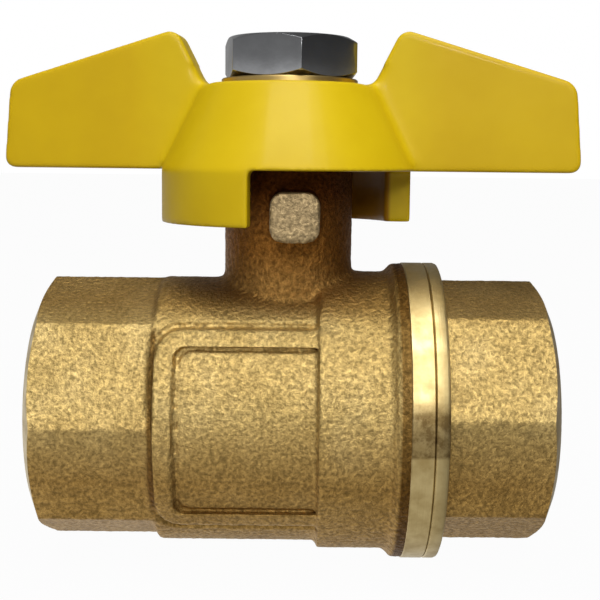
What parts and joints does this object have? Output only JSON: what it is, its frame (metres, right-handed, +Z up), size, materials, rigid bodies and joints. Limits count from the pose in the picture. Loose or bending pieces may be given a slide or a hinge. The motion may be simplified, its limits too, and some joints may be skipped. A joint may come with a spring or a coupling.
{
  "type": "gas ball valve",
  "caption": "Two-piece forged brass ball valve for gas with female threaded ends and a yellow butterfly handle that turns a quarter turn.",
  "frame": {"origin": "centre of the inlet port's mouth, in the end face of the forged body", "axes": "+X along the pipe from the inlet to the outlet, +Z up the stem towards the handle, -Y is the front"},
  "size_m": [0.0586, 0.0306, 0.054],
  "materials": {
    "forged_brass": "sand-blasted forging with turned joint ring",
    "stem_brass": "turned",
    "ball_chrome": "polished chrome plating",
    "seat_ptfe": "white PTFE",
    "ring_rubber": "black rubber",
    "handle_yellow": "gloss yellow paint on die casting",
    "washer_zinc": "yellow zinc plating",
    "nut_zinc": "bright zinc plating"
  },
  "bodies": {
    "housing": {"valve_body": "forged_brass", "end_cap": "forged_brass", "inlet_seat": "seat_ptfe", "outlet_seat": "seat_ptfe", "joint_seal": "seat_ptfe"},
    "handle_set": {"stem": "stem_brass", "lower_stem_ring": "ring_rubber", "upper_stem_ring": "ring_rubber", "thrust_washer": "seat_ptfe", "handle": "handle_yellow", "handle_washer": "washer_zinc", "handle_nut": "nut_zinc"},
    "ball_set": {"ball": "ball_chrome"}
  },
  "joints": [
    {"name": "handle_turn", "type": "hinge", "parent": "housing", "child": "handle_set", "pos_m": [0.02511, 0, 0.02], "axis": [0, 0, 1], "range_deg": [-85, 5]},
    {"name": "ball_turn", "type": "hinge", "parent": "housing", "child": "ball_set", "pos_m": [0.02511, 0, 0], "axis": [0, 0, 1], "range_deg": [-85, 5]}
  ],
  "couplings": [
    {"joint": "ball_turn", "follows": "handle_turn", "ratio": 1}
  ]
}
